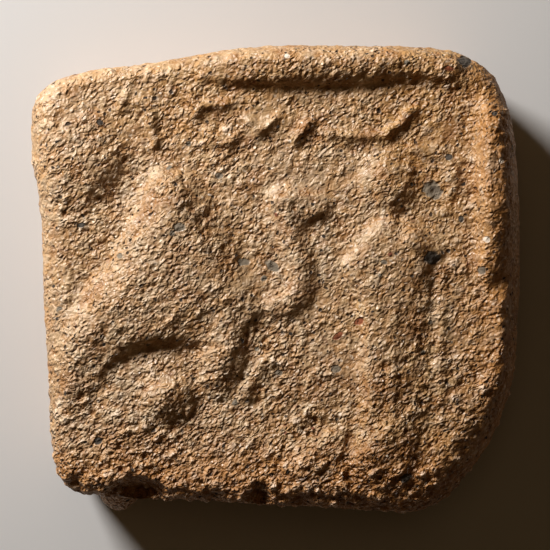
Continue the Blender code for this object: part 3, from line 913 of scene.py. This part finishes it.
def clay_colour(n):
    """The clay: its patches, grey and orange parts and stains, painted light that pales it
    where the key light falls, painted shade of deeper orange away from it, painted shade
    and dirt between the grit of the mesh, and a painted highlight and pale wear on top of it."""
    patches = n.ramp(n.noise(4.0, detail=3), 0.35, 0.65)
    colour = n.mix(patches, srgb(*CLAY), srgb(*LIGHTER_CLAY))
    # painted light: paler where the key light falls
    colour = n.tint(n.attribute("pale"), colour, KEY_LIT_PALE_CLAY)
    # painted shade: a deeper orange away from the key light
    colour = n.tint(n.math("MULTIPLY", n.attribute("warm"), SHADED_SIDE_SHARE), colour, SHADED_SIDE_ORANGE)
    greyer = n.ramp(n.noise(0.4, detail=2, distortion=0.5), 0.48, 0.66, 0, GREYER_SHARE)
    colour = n.tint(greyer, colour, GREYER_CLAY)
    oranger = n.ramp(n.noise(0.5, detail=2, distortion=0.3), 0.48, 0.66, 0, ORANGER_SHARE)
    colour = n.tint(oranger, colour, ORANGER_CLAY)
    stain = n.ramp(n.noise(1.3, detail=2), 0.56, 0.68)
    colour = n.tint(n.math("MULTIPLY", stain, STAIN_SHARE), colour, STAIN)
    # painted shade and dirt: deeper and darker between the grit
    low = n.ramp(n.attribute("grit"), 0.01, -0.09)
    colour = n.tint(n.math("MULTIPLY", low, SHADE_AND_DIRT_SHARE), colour, SHADE_AND_DIRT_BETWEEN_GRIT)
    # painted highlight and pale wear: paler on the tops of the grit
    high = n.ramp(n.attribute("grit"), 0.02, 0.09)
    return n.tint(n.math("MULTIPLY", high, HIGHLIGHT_AND_WEAR_SHARE), colour, HIGHLIGHT_AND_WEAR_ON_GRIT)


def with_sand(n, colour):
    """Sand grains of several tints, each a cell of its own."""
    distance, cell = n.voronoi(SAND_SIZE)
    number = n.red_of(cell)
    body = n.ramp(distance, 0.55, 0.3)
    for low_end, high_end, tint, amount in SAND_GRAINS:
        chosen = n.math("MULTIPLY", n.math("GREATER_THAN", number, low_end),
                        n.math("LESS_THAN", number, high_end))
        chosen = n.math("MULTIPLY", n.math("MULTIPLY", chosen, body), amount)
        colour = n.tint(chosen, colour, tint)
    return colour


def with_scattered_stones(n, colour, dull):
    """Small stones through the clay, which are dull."""
    for size, above, radius, tint in SCATTERED_STONES:
        distance, cell = n.voronoi(size)
        chosen = n.math("GREATER_THAN", n.red_of(cell), above)
        spot = n.math("MULTIPLY", chosen, n.ramp(distance, radius * 1.15, radius * 0.85))
        colour = n.tint(spot, colour, tint)
        dull = n.math("MAXIMUM", dull, spot)
    return colour, dull


def with_tiny_pits(n, colour, dull, grit):
    """Tiny deep pits, with painted shade inside them, and dull."""
    for size, share, radius in TINY_PITS:
        distance, cell = n.voronoi(size)
        chosen = n.math("LESS_THAN", n.red_of(cell), share)
        hole = n.math("MULTIPLY", chosen, n.ramp(distance, radius, radius * 0.6))
        # painted shade inside the pit
        colour = n.tint(n.math("MULTIPLY", hole, PIT_SHADE_SHARE), colour, PAINTED_SHADE_IN_PIT)
        dull = n.math("MAXIMUM", dull, hole)
        grit = n.math("SUBTRACT", grit, n.math("MULTIPLY", hole, PIT_DEPTH))
    return colour, dull, grit


def with_larger_stones(n, colour, dull, grit):
    """The larger stones in their places, with uneven edges, dull and less gritty."""
    edge = n.ramp(n.noise(0.25, detail=1), 0.2, 0.8, -0.25, 0.25)
    for name, tint, amount in LARGER_STONES:
        inside_stone = n.ramp(n.math("ADD", n.attribute(name), edge), -0.1, 0.15)
        colour = n.tint(n.math("MULTIPLY", inside_stone, amount), colour, tint)
        grit = n.math("MULTIPLY", grit, n.ramp(inside_stone, 0, 1, 1, STONE_GRIT))
        dull = n.math("MAXIMUM", dull, inside_stone)
    return colour, dull, grit


def clay_material():
    clay = bpy.data.materials.new("terracotta")
    n = Nodes(clay)
    grit = fine_grit(n)
    colour = with_sand(n, clay_colour(n))
    colour, dull = with_scattered_stones(n, colour, 0.0)
    colour, dull, grit = with_tiny_pits(n, colour, dull, grit)
    colour, dull, grit = with_larger_stones(n, colour, dull, grit)
    n.link(colour, n.shader.inputs["Base Color"])

    bump = n.add("ShaderNodeBump")
    bump.inputs["Distance"].default_value = BUMP_DISTANCE * MM
    bump.inputs["Strength"].default_value = 1.0
    n.link(grit, bump.inputs["Height"])
    n.link(bump.outputs["Normal"], n.shader.inputs["Normal"])

    roughness = n.ramp(n.noise(0.2), 0.3, 0.7, *CLAY_ROUGHNESS)
    roughness = n.math("MAXIMUM", roughness, n.math("MULTIPLY", dull, DULL_ROUGHNESS))
    n.link(roughness, n.shader.inputs["Roughness"])
    n.shader.inputs["Specular IOR Level"].default_value = CLAY_SPECULAR
    return clay


def floor_material():
    pale = bpy.data.materials.new("pale_floor")
    n = Nodes(pale)
    colour = n.mix(n.noise(FLOOR_PATCHES), *FLOOR_GREYS)
    n.link(colour, n.shader.inputs["Base Color"])
    n.shader.inputs["Roughness"].default_value = FLOOR_ROUGHNESS
    return pale


# ---------------------------------------------------------------- stage, light, camera

FLOOR_SIZE = 900.0   # each side of the floor

# Name, direction (counterclockwise from +X) and height over the floor in degrees,
# distance and size in mm, power, colour. The key light grazes the relief from the
# upper left
LIGHTS = (
    ("key", 133, 26, 130, 38, 0.238, (1.0, 0.97, 0.955)),
    ("fill", 60, 75, 300, 200, 0.018, (1.0, 0.7, 0.42)),
)
WORLD_COLOUR = (1, 0.66, 0.32, 1)
WORLD_STRENGTH = 0.035

# The camera looks straight down at VIEW_CENTRE, from so far off that its picture is
# VIEW_WIDTH wide at the height of the field. It sees what lies between two shares of
# that distance
LENS = 200.0
SENSOR = 36.0
VIEW_WIDTH = 26.8
VIEW_CENTRE = (-0.07, 0.27)
NEAREST, FARTHEST = 0.05, 50


def add_floor():
    mesh = bpy.data.meshes.new("floor")
    bm = bmesh.new()
    bmesh.ops.create_grid(bm, x_segments=1, y_segments=1, size=FLOOR_SIZE / 2 * MM)
    bm.to_mesh(mesh)
    bm.free()
    mesh.materials.append(floor_material())
    floor = bpy.data.objects.new("floor", mesh)
    bpy.context.scene.collection.objects.link(floor)


def aim(thing, target):
    """Turns a light to shine at a target."""
    direction = Vector(target) - thing.location
    thing.rotation_mode = "QUATERNION"
    thing.rotation_quaternion = direction.to_track_quat("-Z", "Y")


def add_light(name, azimuth, elevation, distance, size, power, colour):
    """A square soft light, placed by its direction from the middle of the face."""
    lamp = bpy.data.lights.new(name, "AREA")
    lamp.size = size * MM
    lamp.energy = power
    lamp.color = colour
    thing = bpy.data.objects.new(name, lamp)
    bpy.context.scene.collection.objects.link(thing)
    a, e = math.radians(azimuth), math.radians(elevation)
    out = Vector((math.cos(a) * math.cos(e), math.sin(a) * math.cos(e), math.sin(e)))
    target = Vector((0, 0, FIELD_LEVEL * MM))
    thing.location = target + out * distance * MM
    aim(thing, target)


def add_camera():
    """A long lens straight above the tablet."""
    data = bpy.data.cameras.new("camera")
    data.lens = LENS
    data.sensor_width = SENSOR
    distance = VIEW_WIDTH * LENS / SENSOR
    data.clip_start = NEAREST * distance * MM
    data.clip_end = FARTHEST * distance * MM
    camera = bpy.data.objects.new("camera", data)
    camera.location = (VIEW_CENTRE[0] * MM, VIEW_CENTRE[1] * MM,
                       (FIELD_LEVEL + distance) * MM)
    bpy.context.scene.collection.objects.link(camera)
    bpy.context.scene.camera = camera


def add_surroundings():
    """A dim warm surrounding, and how the picture is developed."""
    world = bpy.data.worlds.new("studio")
    world.use_nodes = True
    background = world.node_tree.nodes["Background"]
    background.inputs["Color"].default_value = WORLD_COLOUR
    background.inputs["Strength"].default_value = WORLD_STRENGTH
    bpy.context.scene.world = world
    bpy.context.scene.view_settings.view_transform = "Standard"
    bpy.context.scene.view_settings.look = "Medium High Contrast"


# ---------------------------------------------------------------- put together

tablet = build_tablet()
tablet.data.materials.append(clay_material())
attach(tablet, "root")
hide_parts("tablet")

add_floor()
add_surroundings()
for light in LIGHTS:
    add_light(*light)
add_camera()

bpy.context.view_layer.update()
